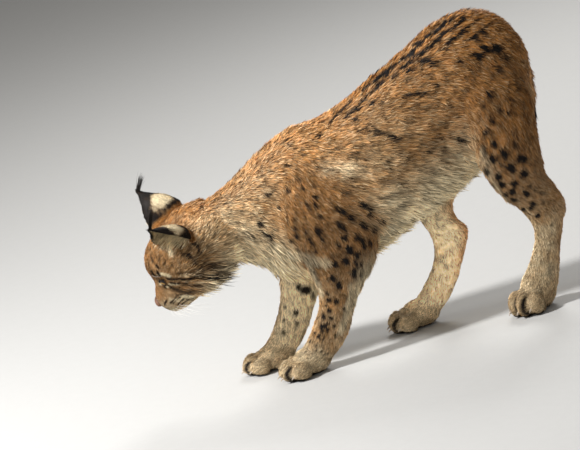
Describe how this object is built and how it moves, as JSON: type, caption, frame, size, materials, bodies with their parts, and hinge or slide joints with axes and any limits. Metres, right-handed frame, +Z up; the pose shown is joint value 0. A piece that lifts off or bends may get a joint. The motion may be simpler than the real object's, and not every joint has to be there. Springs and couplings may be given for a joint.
{
  "type": "eurasian lynx",
  "caption": "Life-size standing Eurasian lynx, head lowered and forefeet set forward, with tufted ears, cheek ruff and short tail.",
  "frame": {"origin": "on the floor, under the middle of the lynx's bounding box", "axes": "+Z up; the lynx faces -X, its left side is on -Y and its tail on +X"},
  "size_m": [0.812, 0.2214, 0.5864],
  "materials": {
    "coat": "rufous fur, matt",
    "pale_coat": "cream and buff fur, matt",
    "dark_coat": "black-tipped fur, matt",
    "nose_skin": "bare skin, slightly moist",
    "eye": "wet and glossy"
  },
  "bodies": {
    "root": {"head": "coat", "neck": "coat", "chest": "coat", "belly": "coat", "rump": "coat", "left_upper_arm": "coat", "right_upper_arm": "coat", "left_thigh": "coat", "right_thigh": "coat", "left_forearm": "pale_coat", "right_forearm": "pale_coat", "left_front_paw": "pale_coat", "right_front_paw": "pale_coat", "left_shank": "pale_coat", "right_shank": "pale_coat", "left_hind_foot": "pale_coat", "right_hind_foot": "pale_coat", "left_hind_paw": "pale_coat", "right_hind_paw": "pale_coat", "left_ear": "dark_coat", "right_ear": "dark_coat", "tail": "dark_coat", "nose": "nose_skin", "left_eye": "eye", "right_eye": "eye"}
  },
  "joints": []
}
